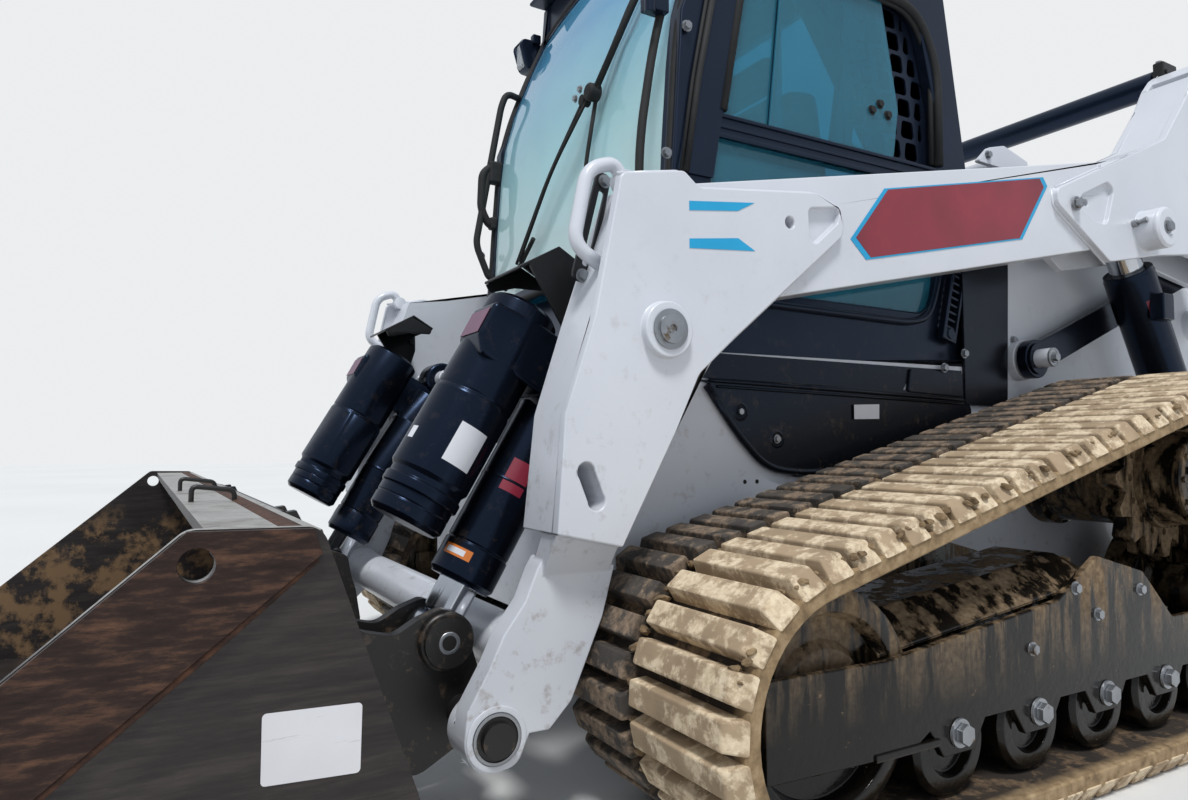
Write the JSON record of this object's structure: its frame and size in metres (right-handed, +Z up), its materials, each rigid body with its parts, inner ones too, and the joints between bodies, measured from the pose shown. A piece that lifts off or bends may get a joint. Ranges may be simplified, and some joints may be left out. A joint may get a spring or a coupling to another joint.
{
  "type": "compact track loader",
  "caption": "Compact track loader with rubber tracks, vertical-path lift arms moved by electric actuators, enclosed cab and a wide dirt bucket.",
  "frame": {"origin": "on the ground under the middle of the machine's length and width", "axes": "+X to the bucket, +Y to the machine's left, +Z up"},
  "size_m": [3.624, 2.012, 2.0666],
  "materials": {
    "white_paint": "gloss",
    "battery_case": "satin",
    "black_covers": "gloss",
    "undercarriage_steel": "satin, muddy",
    "track_rubber": "matte, muddy",
    "cab_paint": "satin",
    "window_glass": "clear, tinted",
    "seat_cover": "matte",
    "lamp_glass": "clear",
    "actuator_black": "satin",
    "rod_chrome": "polished",
    "coupler_black": "satin, worn",
    "bucket_steel": "bare, rusted"
  },
  "bodies": {
    "chassis": {"main_frame": "white_paint", "battery_pack": "battery_case", "side_covers": "black_covers", "track_frames": "undercarriage_steel", "left_track": "track_rubber", "right_track": "track_rubber", "drive_sprockets": "undercarriage_steel", "final_drives": "undercarriage_steel", "front_idlers": "undercarriage_steel", "rear_idlers": "undercarriage_steel", "bottom_rollers": "undercarriage_steel", "cab_frame": "cab_paint", "cab_roof": "black_covers", "side_windows": "window_glass", "side_screens": "black_covers", "rear_window": "window_glass", "seat": "seat_cover", "control_consoles": "black_covers", "head_lamps": "lamp_glass", "antenna": "cab_paint", "tail_frame": "black_covers", "tail_lamps": "lamp_glass"},
    "cab_door": {"door_frame": "cab_paint", "door_glass": "window_glass", "door_handle": "cab_paint", "door_wiper": "cab_paint"},
    "tail_door": {"tailgate": "black_covers"},
    "rear_cover": {"rear_lid": "black_covers"},
    "control_link": {"control_links": "actuator_black"},
    "rear_link": {"rear_links": "actuator_black"},
    "lift_arm": {"left_lift_arm": "white_paint", "right_lift_arm": "white_paint", "front_cross_tube": "white_paint", "rear_cross_tube": "cab_paint", "grab_handles": "white_paint", "tilt_guards": "actuator_black"},
    "lift_barrel": {"lift_barrels": "actuator_black"},
    "lift_rod": {"lift_rods": "rod_chrome"},
    "tilt_barrel": {"tilt_barrels": "actuator_black", "tilt_motors": "actuator_black"},
    "tilt_rod": {"tilt_rods": "rod_chrome"},
    "coupler": {"coupler_frame": "coupler_black", "bucket": "bucket_steel", "side_cutters": "bucket_steel", "cutting_edge": "bucket_steel"}
  },
  "joints": [
    {"name": "control_link_swing", "type": "hinge", "parent": "chassis", "child": "control_link", "pos_m": [-0.8, 0, 0.826], "axis": [0, -1, 0], "range_deg": [-3.56, 0]},
    {"name": "arm_lift", "type": "hinge", "parent": "control_link", "child": "lift_arm", "pos_m": [-1.6, 0, 1.14], "axis": [0, -1, 0], "range_deg": [0, 66]},
    {"name": "rear_link_swing", "type": "hinge", "parent": "chassis", "child": "rear_link", "pos_m": [-1.7, 0, 0.985], "axis": [0, -1, 0], "range_deg": [0, 38.56]},
    {"name": "lift_barrel_swing", "type": "hinge", "parent": "chassis", "child": "lift_barrel", "pos_m": [-1.439, 0, 0.46], "axis": [0, -1, 0], "range_deg": [0, 25.19]},
    {"name": "lift_rod_slide", "type": "slide", "parent": "lift_barrel", "child": "lift_rod", "axis": [0.499, 0, 0.8666], "range_m": [0, 0.473]},
    {"name": "bucket_tilt", "type": "hinge", "parent": "lift_arm", "child": "coupler", "pos_m": [0.722, 0, 0.17], "axis": [0, 1, 0], "range_deg": [-18, 58]},
    {"name": "tilt_barrel_swing", "type": "hinge", "parent": "lift_arm", "child": "tilt_barrel", "pos_m": [0.455, 0, 0.79], "axis": [0, 1, 0], "range_deg": [-4.59, 1.63]},
    {"name": "tilt_rod_slide", "type": "slide", "parent": "tilt_barrel", "child": "tilt_rod", "axis": [0.5044, 0, -0.8635], "range_m": [-0.0349, 0.108]},
    {"name": "door_hinge", "type": "hinge", "parent": "chassis", "child": "cab_door", "pos_m": [0.337, 0.484, 1.4], "axis": [0, 0, 1], "range_deg": [0, 85]},
    {"name": "tailgate_hinge", "type": "hinge", "parent": "chassis", "child": "tail_door", "pos_m": [-1.79, 0.47, 0.8], "axis": [0, 0, -1], "range_deg": [0, 95]},
    {"name": "rear_lid_hinge", "type": "hinge", "parent": "chassis", "child": "rear_cover", "pos_m": [-0.74, 0, 1.26], "axis": [0, 1, 0], "range_deg": [0, 16]}
  ],
  "couplings": [
    {"joint": "control_link_swing", "follows": "arm_lift", "ratio": -0.0494},
    {"joint": "rear_link_swing", "follows": "arm_lift", "ratio": 0.57967},
    {"joint": "lift_barrel_swing", "follows": "arm_lift", "ratio": 0.37713},
    {"joint": "lift_rod_slide", "follows": "arm_lift", "m_per_rad": 0.4089},
    {"joint": "tilt_barrel_swing", "follows": "bucket_tilt", "ratio": -0.07399},
    {"joint": "tilt_rod_slide", "follows": "bucket_tilt", "m_per_rad": 0.10475}
  ]
}
